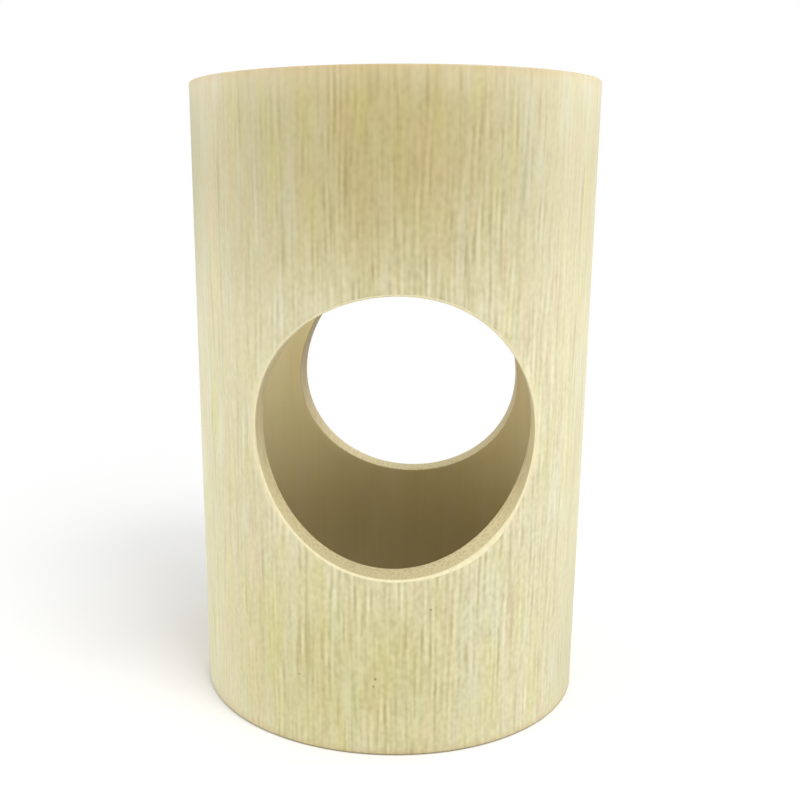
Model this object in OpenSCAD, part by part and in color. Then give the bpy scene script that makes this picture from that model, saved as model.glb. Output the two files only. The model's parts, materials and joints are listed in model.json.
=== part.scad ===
// Bamboo hamster tunnel: one length of bamboo between two knots, sawn square at both ends,
// scraped and sanded, with one round hole drilled straight across through both walls.
// Millimetres. The tube stands on its sawn end: the origin is the middle of that end, +Z is up
// along the tube, and -Y is the mouth of the hole that faces the viewer.

/* [Tube] */
// Height of the tube from rim to rim
tube_h = 122; // [90:1:200]
// Outside diameter of the tube
tube_d = 79; // [70:1:120]
// Thickness of the bamboo wall
wall_t = 5.5; // [3:0.5:9]
// Radius that the edges of both sawn rims are sanded to
rim_ease = 0.3; // [0.1:0.1:1.4]

/* [Drilled hole] */
// Diameter of the hole drilled across the tube
hole_d = 50; // [20:1:56]
// Height of the hole's axis above the end that the tube stands on
hole_z = 60; // [40:1:80]
// Distance of the hole's axis to the right of the tube's axis
hole_offset = 2.4; // [0:0.1:5]
// Width of the sanded flat around each outer mouth of the hole
mouth_ease = 0.4; // [0.2:0.1:1.2]

/* [Hidden] */
$fn = 96;

outer_r = tube_d / 2;
inner_r = outer_r - wall_t;
hole_r = hole_d / 2;

// How far the drill and the sanding cut run past the wood, so that no faces coincide
overrun = 2;
// Sections around each mouth of the hole
mouth_steps = 72;

function unit(v) = v / norm(v);

// A point on the edge where the hole breaks through the outer face, at angle a around the hole.
// side is -1 for the front mouth and 1 for the rear one.
function mouth_x(a) = hole_offset + hole_r * cos(a);
function mouth_y(a, side) = side * sqrt(outer_r ^ 2 - mouth_x(a) ^ 2);
function mouth_point(a, side) = [mouth_x(a), mouth_y(a, side), hole_z + hole_r * sin(a)];

// Along the edge, out of the outer face, and out from the hole's axis, at that point
function mouth_along(a, side) =
    unit([-sin(a), sin(a) * mouth_x(a) / mouth_y(a, side), cos(a)]);
function face_out(a, side) = unit([mouth_x(a), mouth_y(a, side), 0]);
function hole_out(a) = [cos(a), 0, sin(a)];

// The two ways that lie square to the edge: over the outer face away from the hole, and down
// the hole's wall towards the tube's axis
function over_face(a, side) = side * unit(cross(face_out(a, side), mouth_along(a, side)));
function down_wall(a, side) = side * unit(cross(hole_out(a), mouth_along(a, side)));

// One section of the sanding cut: a triangle that takes the corner off the edge
function ease_section(a, side) =
    let (
        edge = mouth_point(a, side),
        on_face = edge + mouth_ease * over_face(a, side),
        on_wall = edge + mouth_ease * down_wall(a, side),
        slope = unit(on_face - on_wall),
        clear = unit(face_out(a, side) - hole_out(a))
    )
    [on_face + mouth_ease * slope, edge + overrun * clear, on_wall - mouth_ease * slope];

// The wall of the tube in section, with its four corners sanded round
module wall_section() {
    translate([inner_r + rim_ease, 0])
        square([wall_t - 2 * rim_ease, tube_h]);
    translate([inner_r, rim_ease])
        square([wall_t, tube_h - 2 * rim_ease]);
    for (x = [inner_r + rim_ease, outer_r - rim_ease], y = [rim_ease, tube_h - rim_ease])
        translate([x, y])
            circle(r = rim_ease);
}

// The drill's path, straight across the tube
module drilled_hole() {
    translate([hole_offset, 0, hole_z])
        rotate([90, 0, 0])
            cylinder(r = hole_r, h = tube_d + 2 * overrun, center = true);
}

// The sanding cut around one mouth: a ring of triangles that follows the saddle-shaped edge
module mouth_easing(side) {
    sections = [for (i = [0:mouth_steps - 1]) ease_section(360 * i / mouth_steps, side)];
    points = [for (s = sections, p = s) p];
    corners = len(sections[0]);
    faces = [
        for (i = [0:mouth_steps - 1], c = [0:corners - 1])
            let (
                next = (i + 1) % mouth_steps,
                a = i * corners + c,
                b = i * corners + (c + 1) % corners,
                d = next * corners + c,
                e = next * corners + (c + 1) % corners
            )
            each side < 0 ? [[a, b, e], [a, e, d]] : [[a, e, b], [a, d, e]]
    ];
    polyhedron(points = points, faces = faces);
}

module bamboo_tube() {
    color("#D9D09B")
        difference() {
            rotate_extrude()
                wall_section();
            drilled_hole();
            mouth_easing(-1);
            mouth_easing(1);
        }
}

bamboo_tube();
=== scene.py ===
"""Bamboo tunnel for a small pet: an upright length of bamboo with one hole drilled across it."""

import json
import math

import bmesh
import bpy
from bpy.props import FloatProperty, FloatVectorProperty, IntProperty, PointerProperty
from mathutils import Matrix, Vector


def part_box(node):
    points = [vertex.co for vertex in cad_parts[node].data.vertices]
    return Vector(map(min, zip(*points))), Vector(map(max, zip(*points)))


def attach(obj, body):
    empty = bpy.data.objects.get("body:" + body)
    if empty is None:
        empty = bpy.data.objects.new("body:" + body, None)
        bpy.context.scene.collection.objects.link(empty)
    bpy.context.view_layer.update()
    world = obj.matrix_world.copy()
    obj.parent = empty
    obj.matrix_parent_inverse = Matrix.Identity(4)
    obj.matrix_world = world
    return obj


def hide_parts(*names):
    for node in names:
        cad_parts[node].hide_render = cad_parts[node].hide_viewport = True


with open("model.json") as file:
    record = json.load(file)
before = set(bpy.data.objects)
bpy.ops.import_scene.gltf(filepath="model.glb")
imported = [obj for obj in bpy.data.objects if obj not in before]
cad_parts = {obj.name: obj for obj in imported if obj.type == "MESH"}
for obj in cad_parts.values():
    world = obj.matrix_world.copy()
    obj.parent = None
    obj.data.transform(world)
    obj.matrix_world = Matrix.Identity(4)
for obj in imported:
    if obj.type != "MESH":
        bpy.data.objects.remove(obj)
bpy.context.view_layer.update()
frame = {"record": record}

bl_info = {
    "name": "Bamboo tunnel",
    "version": (1, 0, 0),
    "blender": (4, 5, 0),
    "location": "3D View > Sidebar > Bamboo tunnel",
    "description": "Builds a scraped bamboo tube with a hole drilled across it, on a white floor",
    "category": "Add Mesh",
}

MM = 0.001
NODE = "bamboo_tube"
FRONT, REAR = -1, 1
TUBE_LOW, TUBE_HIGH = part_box(NODE)
MOUNTS = {mount["name"]: mount for mount in frame["record"]["mounts"]}
HOLE_X, _, HOLE_Z = MOUNTS["side_hole"]["pos_m"]

# The tube's radius, height and half height and the hole's radius, in millimetres as the finishes measure
RADIUS_MM = TUBE_HIGH.y / MM
HEIGHT_MM = (TUBE_HIGH.z - TUBE_LOW.z) / MM
MIDDLE_MM = HEIGHT_MM / 2
HOLE_MM = MOUNTS["side_hole"]["dims"]["r_mm"]

# Material slots of the tube, in the order that the wall's thickening gives them
OUTSIDE, INSIDE, CUT, EDGE = range(4)

# Where the wood has browned with age since it was cut, and where shade is painted into its colour.
# A zone has its slot, the turn of its middle from the front and how far it reaches to each side in degrees,
# the height of its middle and how far it reaches up and down in mm, and its tint
TAN_AND_SHADE_ZONES = (
    # The upper end is darker all round, partly aged and partly painted shade, with a browner aged patch in
    # front and more painted shade on its left
    (OUTSIDE, -90, 360, 108, 36, "#E4E0D4"),
    (OUTSIDE, 0, 45, 112, 38, "#F0E8CC"),
    (OUTSIDE, -90, 40, 110, 50, "#D8E4F0"),
    # The foot is yellower in front, and darker on its right with painted shade
    (OUTSIDE, -10, 60, 15, 32, "#F0EED4"),
    (OUTSIDE, 85, 40, 8, 35, "#ECECEC"),
    # Painted shade: the inside is darker low down and at its rear left
    (INSIDE, 180, 300, 15, 45, "#C8C4BC"),
    (INSIDE, -130, 90, 50, 45, "#E0E0DA"),
    # Painted shade: the drilled faces are darker at the rear, most on its left, and a little in front
    (CUT, 180, 90, 80, 45, "#D4D0CC"),
    (CUT, -140, 50, 65, 35, "#D0CCC8"),
    (CUT, 0, 60, 35, 20, "#E4E4E0"),
    (CUT, 0, 60, 62, 18, "#ECECEC"),
)

# Small dark pores in the outside: turn from the front in degrees, height and radius in mm
PORES = (
    (-0.5, 15.5, 0.35),
    (-1, 14, 0.25),
    (14, 29, 0.3),
    (-22, 14.5, 0.25),
    (105, 71, 0.3),
    (168, 104, 0.3),
    (-128, 38, 0.3),
)


def linear(hex_colour):
    """An sRGB hex colour as linear red, green and blue, by the formula of the sRGB standard."""
    parts = [int(hex_colour[i : i + 2], 16) / 255 for i in (1, 3, 5)]
    return [p / 12.92 if p <= 0.04045 else ((p + 0.055) / 1.055) ** 2.4 for p in parts]


def colour(name, description, hex_colour):
    """A colour that a user can change."""
    return FloatVectorProperty(
        name=name, description=description, default=linear(hex_colour), subtype="COLOR", min=0, max=1
    )


def length(name, description, metres):
    """A length that a user can change."""
    return FloatProperty(name=name, description=description, default=metres, unit="LENGTH", min=0)


def power(name, description, watts):
    """A lamp's power that a user can change."""
    return FloatProperty(name=name, description=description, default=watts, unit="POWER")


def angle(name, description, degrees):
    """An angle that a user can change."""
    return FloatProperty(name=name, description=description, default=math.radians(degrees), subtype="ANGLE")


class BambooSizes(bpy.types.PropertyGroup):
    """Sizes of the tube and its relief."""

    height: length("Height", "Length of the tube from rim to rim", TUBE_HIGH.z - TUBE_LOW.z)
    outer_radius: length("Outer radius", "Radius of the outside", (TUBE_HIGH.y - TUBE_LOW.y) / 2)
    bore_radius: length("Bore radius", "Radius of the inside", MOUNTS["tube_bore"]["dims"]["r_mm"] * MM)
    hole_radius: length("Hole radius", "Radius of the drilled hole", HOLE_MM * MM)
    hole_height: length("Hole height", "Height of the hole's axis", HOLE_Z)
    hole_offset: length("Hole offset", "Distance of the hole's axis to the right of the tube's", HOLE_X)
    rim_ease: length("Rim easing", "Width that the sawn rims' edges are sanded to", 0.3 * MM)
    mouth_ease: length("Mouth easing", "Width that the hole's outer edges are sanded to", 0.4 * MM)
    mouth_wear: length("Mouth wear", "How far hand sanding has widened the hole's mouths", 0.6 * MM)
    inner_ease: length("Inner easing", "Width that the hole's inner edges are worn to", 0.15 * MM)
    flat_depth: length("Scraper flats", "Depth of the shallow flats that the scraper leaves", 0.12 * MM)
    bore_depth: length("Bore relief", "Height of the ripples on the inside wall", 0.3 * MM)
    columns: IntProperty(name="Columns", description="Faces around the tube", default=480, min=60)
    rows: IntProperty(name="Rows", description="Faces along the tube", default=60, min=10)


class BambooColours(bpy.types.PropertyGroup):
    """Colours of the bamboo's faces."""

    straw: colour("Straw", "Main colour of the scraped outside", "#D0C9A5")
    rosy: colour("Rosy strips", "Pinkish strips of the outside", "#D7C7A6")
    lemon: colour("Lemon strips", "Yellow-green strips of the outside", "#CECB93")
    cream: colour("Cream strips", "Palest strips of the outside", "#D7DAC9")
    tan: colour("Tan", "Aged part of the outside near the top", "#BBAD75")
    stroke: colour("Dark strokes", "Short dark strokes that the scraper opens", "#AEA37A")
    fibre: colour("Light strokes", "Short pale strokes of laid-bare fibre", "#E9E4C5")
    groove: colour("Grooves", "Long grooves between fibre bundles", "#AAA075")
    pore: colour("Pores", "Small dark pores", "#7C6642")
    burn: colour("Saw burn", "Scorched line along the sawn rims", "#C49D66")
    bore: colour("Bore", "Inside wall", "#E1D3A3")
    bore_line: colour("Bore lines", "Darker lines along the inside wall", "#D2C392")
    bore_skin: colour("Bore skin", "Paler papery skin left on the inside wall", "#E7DAB3")
    flesh: colour("Flesh", "Soft tissue between the fibre bundles on a cut", "#DBCFA5")
    bundle: colour("Bundle", "Fibre bundles on a cut", "#A8925C")
    # The sanded edges' colour, partly a painted highlight where the mouths' eased edges catch the light
    edge: colour("Edge", "Sanded edges, paler by a painted highlight", "#EEE3BA")
    # Painted contact shadow: a dark line where the foot of the tube meets the floor
    contact_shadow: colour("Contact shadow", "Painted shadow where the foot of the tube meets the floor", "#62603F")


class StageSettings(bpy.types.PropertyGroup):
    """Floor, light and camera."""

    key: power("Key", "Power of the soft box at the front right", 2.05)
    high: power("High key", "Power of the soft box above it", 3.55)
    fill: power("Fill", "Power of the soft box on the left", 1.9)
    rim_right: power("Right rim", "Power of the soft box behind right", 2.35)
    rim_left: power("Left rim", "Power of the soft box behind left", 1.65)
    sky: FloatProperty(name="Surround", description="Strength of the white surround", default=0.61, min=0)
    distance: length("Camera distance", "Level distance from the tube's axis to the camera", 213.93 * MM)
    eye_height: length("Camera height", "Height of the camera above the floor", 104.15 * MM)
    bearing: angle("Bearing", "Turn of the camera round the tube", 3.069)
    aim: angle("Aim", "Turn of the camera away from the tube", 2.096)
    pitch: angle("Pitch", "How far the camera looks down", 14.18)
    lens: FloatProperty(name="Lens", description="Focal length in millimetres", default=46.91, min=1)
    shift_x: FloatProperty(name="Shift across", description="Sideways shift of the frame", default=0.0578)
    shift_y: FloatProperty(name="Shift up", description="Upward shift of the frame", default=0.0541)


def start_clean():
    """Leaves nothing selected, so that the next operator only works on its own piece."""
    bpy.ops.object.select_all(action="DESELECT")


def pick(piece, kind, wanted):
    """In edit mode, selects only the piece's vertices, edges or faces that are wanted."""
    bpy.ops.mesh.select_mode(type=kind)
    bpy.ops.mesh.select_all(action="DESELECT")
    mesh = bmesh.from_edit_mesh(piece.data)
    found = [e for e in {"VERT": mesh.verts, "EDGE": mesh.edges, "FACE": mesh.faces}[kind] if wanted(e)]
    if not found:
        raise RuntimeError(f"{piece.name}: nothing to select")
    for element in found:
        element.select = True
    mesh.select_flush_mode()
    bmesh.update_edit_mesh(piece.data)


def apply_modifier(piece, kind, **settings):
    """Adds one modifier, sets it and applies it."""
    modifier = piece.modifiers.new(kind.lower(), kind)
    for name, value in settings.items():
        setattr(modifier, name, value)
    bpy.context.view_layer.objects.active = piece
    bpy.ops.object.modifier_apply(modifier=modifier.name)


def turn_from(side, place):
    """Angle of a place round the tube, from the middle of the front or the rear, towards +X."""
    return math.atan2(place.x, side * place.y)


def on_wall(radius, side, turn, height):
    """A place on an upright round wall."""
    return Vector((radius * math.sin(turn), side * radius * math.cos(turn), height))


def reach(place):
    """Distance from the tube's axis."""
    return math.hypot(place.x, place.y)


def from_drill(sizes, place):
    """Distance from the drill's axis."""
    return math.hypot(place.x - sizes.hole_offset, place.z - sizes.hole_height)


def worn(sizes, side, around):
    """How far hand sanding has widened a mouth of the hole. The drill left the rear one tight on its left."""
    # The share worn all round, and lobes: each has its share, its angle round the hole in degrees, and how
    # narrow it is
    lobes = ((-0.85, 172, 2),) if side == REAR else ((1.75, -46, 8), (0.8, 63, 10), (0.6, 155, 5))
    share = 0 if side == REAR else 0.15
    for most, middle, sharp in lobes:
        share += most * max(0, math.cos(around - math.radians(middle))) ** sharp
    return share * sizes.mouth_wear


def outer_skin(sizes):
    """The outside of the tube, open at both ends, in rows and columns."""
    start_clean()
    bpy.ops.mesh.primitive_cylinder_add(
        vertices=sizes.columns,
        radius=sizes.outer_radius,
        depth=sizes.height,
        end_fill_type="NOTHING",
        location=(0, 0, sizes.height / 2),
    )
    tube = bpy.context.object
    tube.name = tube.data.name = "scraped_bamboo_tube"
    bpy.ops.object.transform_apply(location=True, rotation=False, scale=False)
    bpy.ops.object.mode_set(mode="EDIT")
    pick(tube, "EDGE", lambda e: abs(e.verts[0].co.z - e.verts[1].co.z) > sizes.height / 2)
    bpy.ops.mesh.subdivide(number_cuts=sizes.rows - 1)
    bpy.ops.object.mode_set(mode="OBJECT")
    return tube


def drill_mouth(tube, sizes, side):
    """Cuts a window in the skin and fills it with rings of faces that close in on the hole's edge."""
    margin, spare, rings = 12 * MM, math.radians(9), 12
    radius, bore = sizes.outer_radius, sizes.bore_radius
    left, right = (
        math.asin((sizes.hole_offset + way * sizes.hole_radius) / bore) + way * spare for way in (-1, 1)
    )
    low, high = (sizes.hole_height + way * (sizes.hole_radius + margin) for way in (-1, 1))
    middle = math.asin(sizes.hole_offset / radius)

    def in_window(place):
        return side * place.y > 0 and left < turn_from(side, place) < right and low < place.z < high

    bpy.ops.object.mode_set(mode="EDIT")
    pick(tube, "FACE", lambda f: in_window(f.calc_center_median()))
    bpy.ops.mesh.delete(type="FACE")
    slack = 1.5 * sizes.height / sizes.rows
    pick(
        tube,
        "EDGE",
        lambda e: e.is_boundary
        and side * e.verts[0].co.y > 0
        and low - slack < min(v.co.z for v in e.verts)
        and max(v.co.z for v in e.verts) < high + slack,
    )
    bpy.ops.mesh.extrude_region_move()
    mesh = bmesh.from_edit_mesh(tube.data)
    layers = mesh.verts.layers.float
    turn_in, rise_in = (layers.get(name) or layers.new(name) for name in ("turn_in", "rise_in"))
    for v in [v for v in mesh.verts if v.select]:
        around = math.atan2(v.co.z - sizes.hole_height, (turn_from(side, v.co) - middle) * radius)
        across, up = sizes.hole_radius * math.cos(around), sizes.hole_radius * math.sin(around)
        flare = 1 + worn(sizes, side, around) / sizes.hole_radius
        turn = math.asin((sizes.hole_offset + flare * across) / radius)
        v[turn_in] = math.asin((sizes.hole_offset + across) / bore) - turn
        v[rise_in] = (1 - flare) * up
        v.co = on_wall(radius, side, turn, sizes.hole_height + flare * up)
    rungs = {e.index for e in mesh.edges if e.verts[0].select != e.verts[1].select}
    bmesh.update_edit_mesh(tube.data)
    pick(tube, "EDGE", lambda e: e.index in rungs)
    bpy.ops.mesh.subdivide(number_cuts=rings - 1)
    mesh = bmesh.from_edit_mesh(tube.data)
    for v in mesh.verts:
        v.co = on_wall(radius, FRONT, turn_from(FRONT, v.co), v.co.z)
    bmesh.update_edit_mesh(tube.data)
    bpy.ops.object.mode_set(mode="OBJECT")


def thicken_wall(tube, sizes):
    """Gives the skin its wall, with the hole's sides square through it as a drill leaves them."""
    skin_count = len(tube.data.vertices)
    wall = sizes.outer_radius - sizes.bore_radius
    apply_modifier(
        tube,
        "SOLIDIFY",
        thickness=wall,
        offset=-1,
        use_rim=True,
        material_offset=INSIDE,
        material_offset_rim=CUT,
    )
    vertices = tube.data.vertices
    if len(vertices) != 2 * skin_count:
        raise RuntimeError("the wall has other vertices than its two skins")
    turn_in, rise_in = (tube.data.attributes[name].data for name in ("turn_in", "rise_in"))
    for i in range(skin_count):
        place = vertices[i].co
        side = FRONT if place.y < 0 else REAR
        turn = turn_from(side, place) + turn_in[i].value
        vertices[skin_count + i].co = on_wall(sizes.bore_radius, side, turn, place.z + rise_in[i].value)
    bpy.ops.object.mode_set(mode="EDIT")
    pick(tube, "EDGE", lambda e: abs(reach(e.verts[0].co) - reach(e.verts[1].co)) > wall / 2)
    bpy.ops.mesh.subdivide(number_cuts=5)
    bpy.ops.object.mode_set(mode="OBJECT")


def ease_edges(tube, sizes):
    """Sands the rims' edges and the edges of the hole."""
    close = 0.02 * MM

    def all_at(edge, measure, value):
        return all(abs(measure(v.co) - value) < close for v in edge.verts)

    def to_axis(place):
        return from_drill(sizes, place)

    def wear(place):
        side = FRONT if place.y < 0 else REAR
        return worn(sizes, side, math.atan2(place.z - sizes.hole_height, place.x - sizes.hole_offset))

    def to_axis_unworn(place):
        return to_axis(place) - wear(place)

    def on_rim(edge):
        ends = any(all_at(edge, lambda p: p.z, z) for z in (0, sizes.height))
        return ends and any(all_at(edge, reach, r) for r in (sizes.outer_radius, sizes.bore_radius))

    bpy.ops.object.mode_set(mode="EDIT")
    for width, slot, wanted in (
        (sizes.rim_ease, OUTSIDE, on_rim),
        (
            sizes.inner_ease,
            CUT,
            lambda e: all_at(e, to_axis, sizes.hole_radius) and all_at(e, reach, sizes.bore_radius),
        ),
    ):
        pick(tube, "EDGE", wanted)
        bpy.ops.mesh.bevel(
            offset=width, segments=3, profile=0.5, affect="EDGES", clamp_overlap=False, material=slot
        )
    pick(
        tube,
        "EDGE",
        lambda e: all_at(e, to_axis_unworn, sizes.hole_radius) and all_at(e, reach, sizes.outer_radius),
    )
    bpy.ops.object.mode_set(mode="OBJECT")
    # Shares of the widest flat: the front mouth's, what its wear adds, and the rear mouth's
    widest = 2 * sizes.mouth_ease
    front, added, rear = 0.45, 0.12, 0.25
    weights = tube.data.attributes.new("bevel_weight_edge", "FLOAT", "EDGE").data
    for edge in tube.data.edges:
        if edge.select:
            place = tube.data.vertices[edge.vertices[0]].co
            wide = front + added * (wear(place) / sizes.mouth_wear) ** 3 if place.y < 0 else rear
            weights[edge.index].value = min(1, wide)
    apply_modifier(
        tube,
        "BEVEL",
        width=widest,
        limit_method="WEIGHT",
        segments=3,
        profile=0.5,
        use_clamp_overlap=False,
        material=EDGE,
    )
    bpy.ops.object.mode_set(mode="EDIT")
    bpy.ops.mesh.select_all(action="DESELECT")
    bpy.ops.object.mode_set(mode="OBJECT")


def raise_relief(tube, sizes):
    """Scraper flats outside and ripples inside, drawn out along the tube, that run out at its edges."""
    bare, run_out = 0.3 * MM, 2 * MM
    for name, slot in (("outside", OUTSIDE), ("inside", INSIDE)):
        group = tube.vertex_groups.new(name=name)
        for i in sorted({v for f in tube.data.polygons if f.material_index == slot for v in f.vertices}):
            place = tube.data.vertices[i].co
            from_hole = from_drill(sizes, place) - sizes.hole_radius
            from_edge = min(from_hole, place.z, sizes.height - place.z)
            group.add([i], min(1, max(0, (from_edge - bare) / run_out)), "REPLACE")
    for group, depth, width, stretch in (
        ("outside", sizes.flat_depth, 7 * MM, 8),
        ("inside", sizes.bore_depth, 6 * MM, 8),
    ):
        start_clean()
        bpy.ops.object.empty_add(location=(0, 0, 0))
        guide = bpy.context.object
        guide.scale = (width, width, width * stretch)
        bpy.context.view_layer.update()
        relief = bpy.data.textures.new("relief", "CLOUDS")
        relief.noise_scale, relief.noise_depth = 1.0, 1
        apply_modifier(
            tube,
            "DISPLACE",
            texture=relief,
            texture_coords="OBJECT",
            texture_coords_object=guide,
            direction="NORMAL",
            vertex_group=group,
            mid_level=0.5,
            strength=depth,
        )
        bpy.data.objects.remove(guide)
        bpy.data.textures.remove(relief)


def fade(share):
    """1 at the middle of a zone, easing to 0 at its edge."""
    share = min(1, share)
    return 1 - share * share * (3 - 2 * share)


def lay_tan_and_shade(tube):
    """Tans the wood unevenly, as light and air do, and darkens it in places with painted shade, in a colour
    attribute that its finishes read.
    """
    tan_and_shade = tube.data.attributes.new("tan_and_shade", "FLOAT_COLOR", "CORNER")
    zones = [(*zone, linear(tint)) for *zone, tint in TAN_AND_SHADE_ZONES]

    def shade(slot, place):
        turn, height = math.degrees(turn_from(FRONT, place)), place.z / MM
        left = [1, 1, 1]
        for zone_slot, middle, wide, level, tall, tint in zones:
            if zone_slot == slot:
                away = abs((turn - middle + 180) % 360 - 180)
                share = fade(away / wide) * fade(abs(height - level) / tall)
                left = [v * (1 - share * (1 - t)) for v, t in zip(left, tint)]
        return (*left, 1)

    shades = {}
    for face in tube.data.polygons:
        for corner, vertex in zip(face.loop_indices, face.vertices):
            key = face.material_index, vertex
            if key not in shades:
                shades[key] = shade(face.material_index, tube.data.vertices[vertex].co)
            tan_and_shade.data[corner].color = shades[key]


def add(tree, kind, inputs=None, **settings):
    """Adds a node with its settings. An input takes a value, or another node's output to link."""
    node = tree.nodes.new(kind)
    for name, value in settings.items():
        setattr(node, name, value)
    for socket, value in (inputs or {}).items():
        if isinstance(value, bpy.types.NodeSocket):
            tree.links.new(value, node.inputs[socket])
        else:
            node.inputs[socket].default_value = value
    return node


def new_material(name):
    """An empty material with its shader, and Object coordinates in millimetres."""
    material = bpy.data.materials.new(name)
    material.use_nodes = True
    tree = material.node_tree
    tree.nodes.clear()
    shader = add(tree, "ShaderNodeBsdfPrincipled")
    add(tree, "ShaderNodeOutputMaterial", {"Surface": shader.outputs[0]})
    coordinates = add(tree, "ShaderNodeTexCoord")
    place = add(
        tree,
        "ShaderNodeVectorMath",
        {0: coordinates.outputs["Object"], 1: (1 / MM, 1 / MM, 1 / MM)},
        operation="MULTIPLY",
    )
    return material, tree, shader, place.outputs[0]


def with_tan_and_shade(tree, tone):
    """A colour with the wood's uneven tan and painted shade over it."""
    tan_and_shade = add(tree, "ShaderNodeAttribute", attribute_name="tan_and_shade")
    mixed = add(
        tree,
        "ShaderNodeMix",
        {0: 1.0, 6: tone, 7: tan_and_shade.outputs["Vector"]},
        data_type="RGBA",
        blend_type="MULTIPLY",
    )
    return mixed.outputs[2]


def from_middle(tree, place):
    """Distance along the tube from the middle of its length, in millimetres."""
    axes = add(tree, "ShaderNodeSeparateXYZ", {0: place})
    offset = add(tree, "ShaderNodeMath", {0: axes.outputs["Z"], 1: MIDDLE_MM}, operation="SUBTRACT")
    away = add(tree, "ShaderNodeMath", {0: offset.outputs[0]}, operation="ABSOLUTE")
    return away.outputs[0]


def scraped_face(colours):
    """Bamboo with its green skin scraped off and sanded: straw-coloured and matt, with strokes along it."""
    material, tree, shader, place = new_material("scraped_bamboo")
    # The fibres stray from straight by a few tenths of a millimetre
    stray = add(tree, "ShaderNodeTexNoise", {"Vector": place, "Scale": 1 / 30, "Detail": 1})
    bent = add(
        tree,
        "ShaderNodeVectorMath",
        {0: stray.outputs["Color"], 1: (1.2, 1.2, 0), 2: place},
        operation="MULTIPLY_ADD",
    )
    across = add(tree, "ShaderNodeSeparateXYZ", {0: bent.outputs[0]})
    # Width across the fibres and length along them, in millimetres
    drawn = {}
    for name, width, along, detail in (
        ("bundles", 1.6, 18, 0),
        ("breaks", 2.2, 5, 0),
        ("strokes", 1.0, 5, 0),
        ("nicks", 0.8, 1.1, 0),
        ("grooves", 1.0, 16, 0),
        ("strips", 3.6, 20, 1),
        ("patches", 20, 55, 1),
    ):
        spread = add(
            tree,
            "ShaderNodeVectorMath",
            {0: bent.outputs[0], 1: (1 / width, 1 / width, 1 / along)},
            operation="MULTIPLY",
        )
        drawn[name] = add(
            tree, "ShaderNodeTexNoise", {"Vector": spread.outputs[0], "Scale": 1, "Detail": detail}
        )
    strip = add(tree, "ShaderNodeSeparateColor", {0: drawn["strips"].outputs["Color"]})
    patch = add(tree, "ShaderNodeSeparateColor", {0: drawn["patches"].outputs["Color"]})
    axes = add(tree, "ShaderNodeSeparateXYZ", {0: place})
    # Fibre bundles 1.35 mm apart in front, wider apart at the sides, which fade in and out along the tube
    per_radian, bunching = 146, 18
    turn = add(
        tree, "ShaderNodeMath", {0: across.outputs["Y"], 1: across.outputs["X"]}, operation="ARCTAN2"
    )
    twice = add(tree, "ShaderNodeMath", {0: turn.outputs[0], 1: 2}, operation="MULTIPLY")
    bunched = add(tree, "ShaderNodeMath", {0: twice.outputs[0]}, operation="SINE")
    moved = add(tree, "ShaderNodeMath", {0: bunched.outputs[0], 1: -bunching}, operation="MULTIPLY")
    count = add(
        tree,
        "ShaderNodeMath",
        {0: turn.outputs[0], 1: per_radian, 2: moved.outputs[0]},
        operation="MULTIPLY_ADD",
    )
    crest = add(tree, "ShaderNodeMath", {0: count.outputs[0]}, operation="COSINE")
    slope = add(tree, "ShaderNodeMath", {0: count.outputs[0]}, operation="SINE")
    wave = add(tree, "ShaderNodeCombineXYZ", {0: crest.outputs[0], 1: slope.outputs[0]})
    swell = add(
        tree,
        "ShaderNodeVectorMath",
        {0: drawn["bundles"].outputs["Color"], 1: (0.5, 0.5, 0.5)},
        operation="SUBTRACT",
    )
    bundles = add(
        tree, "ShaderNodeVectorMath", {0: swell.outputs[0], 1: wave.outputs[0]}, operation="DOT_PRODUCT"
    )
    # The scraper has broken them into short lengths, with shorter strokes and nicks between them
    broken = add(
        tree,
        "ShaderNodeMapRange",
        {
            "Value": drawn["breaks"].outputs["Fac"],
            "From Min": 0.3,
            "From Max": 0.7,
            "To Min": 0.2,
            "To Max": 1.3,
        },
    )
    lengths = add(
        tree, "ShaderNodeMath", {0: bundles.outputs["Value"], 1: broken.outputs[0]}, operation="MULTIPLY"
    )
    short = add(
        tree,
        "ShaderNodeMath",
        {0: drawn["strokes"].outputs["Fac"], 1: 0.46, 2: lengths.outputs[0]},
        operation="MULTIPLY_ADD",
    )
    grain = add(
        tree,
        "ShaderNodeMath",
        {0: drawn["nicks"].outputs["Fac"], 1: 0.54, 2: short.outputs[0]},
        operation="MULTIPLY_ADD",
    )
    pores = []
    for turned, height, size in PORES:
        hole = on_wall(RADIUS_MM, FRONT, math.radians(turned), height)
        gap = add(tree, "ShaderNodeVectorMath", {0: place, 1: hole}, operation="DISTANCE")
        pores.append((gap.outputs["Value"], size, size / 3, 0.75, colours.pore, "MIX"))
    tan_and_shade = add(tree, "ShaderNodeAttribute", attribute_name="tan_and_shade")
    # Distance from the drill's axis, for the band that sanding has left paler beside the hole
    drill = add(
        tree, "ShaderNodeVectorMath", {0: place, 1: (HOLE_X / MM, 0, HOLE_Z / MM)}, operation="SUBTRACT"
    )
    aside = add(tree, "ShaderNodeVectorMath", {0: drill.outputs[0], 1: (1, 0, 1.08)}, operation="MULTIPLY")
    beside = add(tree, "ShaderNodeVectorMath", {0: aside.outputs[0]}, operation="LENGTH")

    # The scraper bit deepest in front, low down, and less towards the sides, the top and the rear
    deepest, squash = Vector((8, -RADIUS_MM, 40)), Vector((1, 1, 0.4))
    front = add(
        tree, "ShaderNodeVectorMath", {0: place, 1: squash, 2: -deepest * squash}, operation="MULTIPLY_ADD"
    )
    away = add(tree, "ShaderNodeVectorMath", {0: front.outputs[0]}, operation="LENGTH")
    dark, pale = (
        add(
            tree,
            "ShaderNodeMapRange",
            {
                "Value": away.outputs["Value"],
                "From Min": 15,
                "From Max": 42,
                "To Min": 1.1 * share,
                "To Max": 0.5 * share,
            },
        ).outputs[0]
        for share in (0.7, 0.64)
    )

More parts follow.
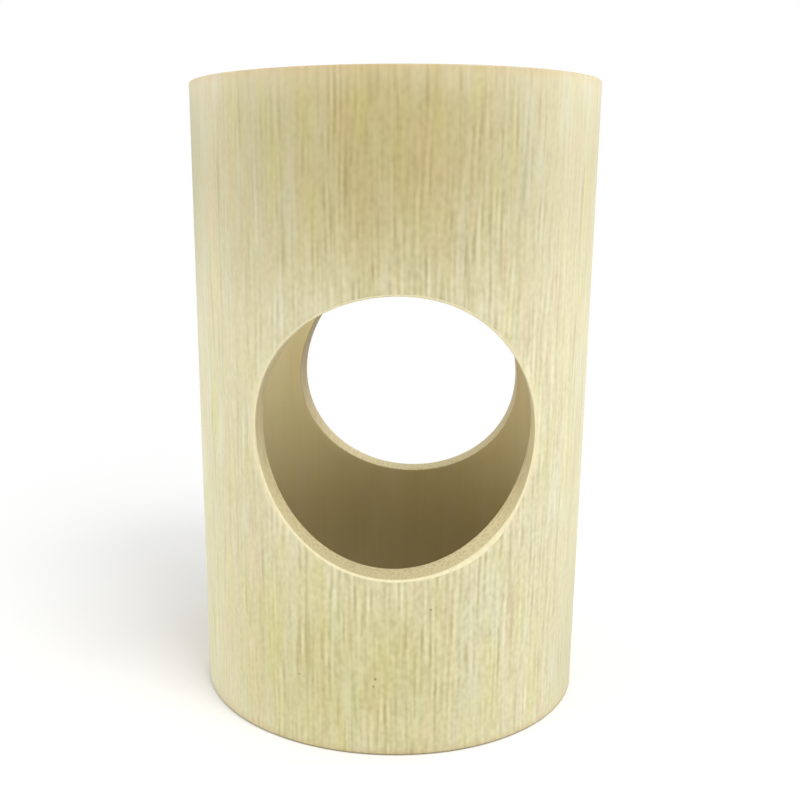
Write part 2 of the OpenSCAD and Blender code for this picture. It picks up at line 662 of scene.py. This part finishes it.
    # A layer has what it follows, where that starts and fills it, its share, its paint and how it is laid on
    tone = (*colours.straw, 1)
    for source, start, full, share, paint, blend in (
        (patch.outputs[0], 0.52, 0.8, 0.25, colours.tan, "MIX"),
        (strip.outputs[0], 0.52, 0.75, 0.5, colours.rosy, "MIX"),
        (strip.outputs[1], 0.5, 0.75, 0.65, colours.lemon, "MIX"),
        (strip.outputs[2], 0.52, 0.75, 0.4, colours.cream, "MIX"),
        (grain.outputs[0], 0.5, 0, dark, colours.stroke, "MIX"),
        (grain.outputs[0], 0.5, 1, pale, colours.fibre, "MIX"),
        (drawn["grooves"].outputs["Fac"], 0.66, 0.8, 0.4, colours.groove, "MIX"),
        # The zones' tan and painted shade, laid over the colour so far
        (1, 0, 1, 1, tan_and_shade.outputs["Vector"], "MULTIPLY"),
        (beside.outputs["Value"], HOLE_MM + 2.2, HOLE_MM + 0.4, 0.55, colours.edge, "MIX"),
        (from_middle(tree, place), MIDDLE_MM - 1.8, MIDDLE_MM, 0.3, colours.burn, "MIX"),
        (axes.outputs["Z"], HEIGHT_MM - 5.5, HEIGHT_MM - 1.5, 0.22, colours.rosy, "MIX"),
        *pores,
        # Painted contact shadow: the lowest half millimetre of the outside darkened where the tube stands on
        # the floor
        (axes.outputs["Z"], 0.5, 0.2, 0.6, colours.contact_shadow, "MIX"),
    ):
        mask = add(
            tree,
            "ShaderNodeMapRange",
            {"Value": source, "From Min": start, "From Max": full, "To Max": share},
        )
        paint = paint if isinstance(paint, bpy.types.NodeSocket) else (*paint, 1)
        mixed = add(
            tree, "ShaderNodeMix", {0: mask.outputs[0], 6: tone, 7: paint}, data_type="RGBA", blend_type=blend
        )
        tone = mixed.outputs[2]
    tree.links.new(tone, shader.inputs["Base Color"])

    rough = add(
        tree,
        "ShaderNodeMapRange",
        {"Value": grain.outputs[0], "From Min": 0, "From Max": 1, "To Min": 0.42, "To Max": 0.6},
    )
    tree.links.new(rough.outputs[0], shader.inputs["Roughness"])
    bump = add(
        tree, "ShaderNodeBump", {"Height": grain.outputs[0], "Strength": 0.5, "Distance": 0.1 * MM}
    )
    tree.links.new(bump.outputs[0], shader.inputs["Normal"])
    shader.inputs["Specular IOR Level"].default_value = 0.35
    return material


def bore_wall(colours):
    """The stem's inside as it grew: tan and smooth, with faint lines and the rest of a thin papery skin."""
    material, tree, shader, place = new_material("bamboo_bore")
    tone = (*colours.bore, 1)
    for width, along, start, full, share, paint in (
        (0.9, 25, 0.5, 0.75, 0.25, colours.bore_line),
        (9, 30, 0.5, 0.7, 0.6, colours.bore_skin),
        (14, 40, 0.5, 0.75, 0.5, colours.bore_line),
    ):
        spread = add(
            tree,
            "ShaderNodeVectorMath",
            {0: place, 1: (1 / width, 1 / width, 1 / along)},
            operation="MULTIPLY",
        )
        streak = add(tree, "ShaderNodeTexNoise", {"Vector": spread.outputs[0], "Scale": 1, "Detail": 2})
        mask = add(
            tree,
            "ShaderNodeMapRange",
            {"Value": streak.outputs["Fac"], "From Min": start, "From Max": full, "To Max": share},
        )
        mixed = add(tree, "ShaderNodeMix", {0: mask.outputs[0], 6: tone, 7: (*paint, 1)}, data_type="RGBA")
        tone = mixed.outputs[2]
    # Painted shade from the zones: darker low down and at the rear left of the inside
    tree.links.new(with_tan_and_shade(tree, tone), shader.inputs["Base Color"])
    shader.inputs["Roughness"].default_value = 0.55
    return material


def cut_face(colours):
    """Bamboo cut across: pale soft tissue with darker fibre bundles, smaller and closer to the outside."""
    material, tree, shader, place = new_material("sawn_bamboo")
    flat = add(tree, "ShaderNodeVectorMath", {0: place, 1: (1, 1, 0)}, operation="MULTIPLY")
    out = add(tree, "ShaderNodeVectorMath", {0: flat.outputs[0]}, operation="LENGTH")
    inward = add(
        tree,
        "ShaderNodeMapRange",
        {"Value": out.outputs["Value"], "From Min": RADIUS_MM - 1, "From Max": RADIUS_MM - 3.5},
    )
    # The saw leaves the bundles clear on the rims, and the drill smears them over in its hole
    clear = add(
        tree,
        "ShaderNodeMapRange",
        {
            "Value": from_middle(tree, place),
            "From Min": MIDDLE_MM - 11,
            "From Max": MIDDLE_MM - 3,
            "To Min": 0.35,
            "To Max": 0.75,
        },
    )
    spots = []
    for spacing in (0.5, 0.95):
        bundle = add(
            tree, "ShaderNodeTexVoronoi", {"Vector": place, "Scale": 1 / spacing}, voronoi_dimensions="2D"
        )
        spot = add(
            tree,
            "ShaderNodeMapRange",
            {
                "Value": bundle.outputs["Distance"],
                "From Min": 0.45,
                "From Max": 0.2,
                "To Max": clear.outputs[0],
            },
        )
        spots.append(spot.outputs[0])
    bundles = add(tree, "ShaderNodeMix", {0: inward.outputs[0], 2: spots[0], 3: spots[1]}, data_type="FLOAT")
    tone = add(
        tree,
        "ShaderNodeMix",
        {0: bundles.outputs[0], 6: (*colours.flesh, 1), 7: (*colours.bundle, 1)},
        data_type="RGBA",
    )
    # Painted shade from the zones: the drilled faces darker at the rear and a little in front
    tree.links.new(with_tan_and_shade(tree, tone.outputs[2]), shader.inputs["Base Color"])
    # Scratches that the saw leaves across the rims and the drill leaves round its hole
    scratched = add(
        tree, "ShaderNodeVectorMath", {0: place, 1: (1 / 25, 1 / 0.4, 1 / 25)}, operation="MULTIPLY"
    )
    scratch = add(tree, "ShaderNodeTexNoise", {"Vector": scratched.outputs[0], "Scale": 1, "Detail": 1})
    bump = add(
        tree, "ShaderNodeBump", {"Height": scratch.outputs["Fac"], "Strength": 0.6, "Distance": 0.1 * MM}
    )
    tree.links.new(bump.outputs[0], shader.inputs["Normal"])
    shader.inputs["Roughness"].default_value = 0.7
    return material


def sanded_edge_with_highlight(colours):
    """Edges that sandpaper has rounded: paler than the faces beside them, partly from the sanding and partly
    as a painted highlight, and matt.
    """
    material, tree, shader, place = new_material("sanded_bamboo_edge_with_highlight")
    lines = add(tree, "ShaderNodeVectorMath", {0: place, 1: (1, 1, 1 / 6)}, operation="MULTIPLY")
    streak = add(tree, "ShaderNodeTexNoise", {"Vector": lines.outputs[0], "Scale": 1 / 0.8, "Detail": 2})
    tone = add(
        tree,
        "ShaderNodeMix",
        {0: streak.outputs["Fac"], 6: (*colours.edge, 1), 7: (*colours.straw, 1)},
        data_type="RGBA",
    )
    tree.links.new(tone.outputs[2], shader.inputs["Base Color"])
    shader.inputs["Roughness"].default_value = 0.7
    return material


class BAMBOO_OT_tube(bpy.types.Operator):
    """Builds the bamboo tube with its drilled hole and its finishes"""

    bl_idname = "bamboo.tube"
    bl_label = "Bamboo tube"

    def execute(self, context):
        sizes, colours = context.scene.bamboo_sizes, context.scene.bamboo_colours
        tube = outer_skin(sizes)
        for side in (FRONT, REAR):
            drill_mouth(tube, sizes, side)
        for finish in (scraped_face, bore_wall, cut_face, sanded_edge_with_highlight):
            tube.data.materials.append(finish(colours))
        thicken_wall(tube, sizes)
        ease_edges(tube, sizes)
        raise_relief(tube, sizes)
        lay_tan_and_shade(tube)
        start_clean()
        tube.select_set(True)
        context.view_layer.objects.active = tube
        bpy.ops.object.shade_smooth_by_angle(angle=math.radians(40))
        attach(tube, "root")
        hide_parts(NODE)
        return {"FINISHED"}


def seen(tree):
    """1 where a surface is seen, also in a mirror or through glass, and 0 where it only lights others."""
    path = add(tree, "ShaderNodeLightPath")
    share = path.outputs["Is Camera Ray"]
    for ray in ("Is Glossy Ray", "Is Transmission Ray"):
        either = add(tree, "ShaderNodeMath", {0: share, 1: path.outputs[ray]}, operation="MAXIMUM")
        share = either.outputs[0]
    return share


def white_floor():
    """A white sweep: paper lit round the tube, with the tube's shadow, and plain white further away."""
    near, far = 0.1, 0.3
    material = bpy.data.materials.new("white_sweep")
    material.use_nodes = True
    tree = material.node_tree
    tree.nodes.clear()
    paper = add(tree, "ShaderNodeBsdfDiffuse", {"Color": (0.9, 0.9, 0.9, 1)})
    glow = add(tree, "ShaderNodeEmission", {"Color": (1, 1, 1, 1), "Strength": 1.0})
    coordinates = add(tree, "ShaderNodeTexCoord")
    away = add(tree, "ShaderNodeVectorMath", {0: coordinates.outputs["Object"]}, operation="LENGTH")
    plain = add(
        tree,
        "ShaderNodeMapRange",
        {"Value": away.outputs["Value"], "From Min": near, "From Max": far},
        interpolation_type="SMOOTHSTEP",
    )
    share = add(tree, "ShaderNodeMath", {0: plain.outputs[0], 1: seen(tree)}, operation="MULTIPLY")
    mixed = add(tree, "ShaderNodeMixShader", {0: share.outputs[0], 1: paper.outputs[0], 2: glow.outputs[0]})
    add(tree, "ShaderNodeOutputMaterial", {"Surface": mixed.outputs[0]})
    return material


def soft_light(name, power, bearing, rise, distance, size):
    """A square soft box that faces the middle of the tube, from a bearing off the front and a rise."""
    aim = Vector((0, 0, 0.06))
    turn, tilt = math.radians(bearing), math.radians(rise)
    way = Vector((math.cos(tilt) * math.sin(turn), -math.cos(tilt) * math.cos(turn), math.sin(tilt)))
    lamp = bpy.data.lights.new(name, "AREA")
    lamp.energy, lamp.size = power, size
    light = bpy.data.objects.new(name, lamp)
    light.location = aim + distance * way
    light.rotation_euler = way.to_track_quat("Z", "Y").to_euler()
    bpy.context.collection.objects.link(light)


class BAMBOO_OT_stage(bpy.types.Operator):
    """Makes the white floor, the soft lights and the camera"""

    bl_idname = "bamboo.stage"
    bl_label = "Stage"

    def execute(self, context):
        settings = context.scene.bamboo_stage
        start_clean()
        bpy.ops.mesh.primitive_plane_add(size=8)
        floor = context.object
        floor.name = "white_floor"
        floor.data.materials.append(white_floor())
        # Bearing and rise in degrees, distance and width in metres
        soft_light("key", settings.key, 42, 50, 0.75, 0.4)
        soft_light("high_key", settings.high, 35, 65, 1.2, 0.6)
        soft_light("fill", settings.fill, -62, 15, 0.9, 0.5)
        soft_light("rim_right", settings.rim_right, 112, 12, 0.9, 0.5)
        soft_light("rim_left", settings.rim_left, -112, 12, 0.9, 0.5)

        world = context.scene.world or bpy.data.worlds.new("surround")
        context.scene.world = world
        world.use_nodes = True
        tree = world.node_tree
        tree.nodes.clear()
        strength = add(
            tree, "ShaderNodeMapRange", {"Value": seen(tree), "To Min": settings.sky, "To Max": 1.0}
        )
        white = add(tree, "ShaderNodeBackground", {"Color": (1, 1, 1, 1), "Strength": strength.outputs[0]})
        add(tree, "ShaderNodeOutputWorld", {"Surface": white.outputs[0]})

        lens = bpy.data.cameras.new("camera")
        lens.sensor_width, lens.lens = 36, settings.lens
        lens.shift_x, lens.shift_y = settings.shift_x, settings.shift_y
        lens.clip_start, lens.clip_end = 0.01, 20
        camera = bpy.data.objects.new("camera", lens)
        context.collection.objects.link(camera)
        camera.matrix_world = (
            Matrix.Translation(
                (
                    settings.distance * math.sin(settings.bearing),
                    -settings.distance * math.cos(settings.bearing),
                    settings.eye_height,
                )
            )
            @ Matrix.Rotation(settings.bearing + settings.aim, 4, "Z")
            @ Matrix.Rotation(math.pi / 2 - settings.pitch, 4, "X")
        )
        context.scene.camera = camera
        context.scene.view_settings.view_transform = "Standard"
        return {"FINISHED"}


class BAMBOO_PT_panel(bpy.types.Panel):
    """Sizes, colours and steps of the bamboo tunnel"""

    bl_idname = "BAMBOO_PT_panel"
    bl_label = "Bamboo tunnel"
    bl_space_type = "VIEW_3D"
    bl_region_type = "UI"
    bl_category = "Bamboo tunnel"

    def draw(self, context):
        scene = context.scene
        for settings in (scene.bamboo_sizes, scene.bamboo_colours, scene.bamboo_stage):
            box = self.layout.box()
            for name in settings.__annotations__:
                box.prop(settings, name)
        for step in STEPS:
            self.layout.operator(step.bl_idname)


STEPS = (BAMBOO_OT_tube, BAMBOO_OT_stage)
CLASSES = (BambooSizes, BambooColours, StageSettings, *STEPS, BAMBOO_PT_panel)


def register():
    for each in CLASSES:
        bpy.utils.register_class(each)
    bpy.types.Scene.bamboo_sizes = PointerProperty(type=BambooSizes)
    bpy.types.Scene.bamboo_colours = PointerProperty(type=BambooColours)
    bpy.types.Scene.bamboo_stage = PointerProperty(type=StageSettings)


def unregister():
    for name in ("bamboo_stage", "bamboo_colours", "bamboo_sizes"):
        delattr(bpy.types.Scene, name)
    for each in reversed(CLASSES):
        bpy.utils.unregister_class(each)


def main():
    register()
    bpy.ops.bamboo.tube()
    bpy.ops.bamboo.stage()


if __name__ == "__main__":
    main()
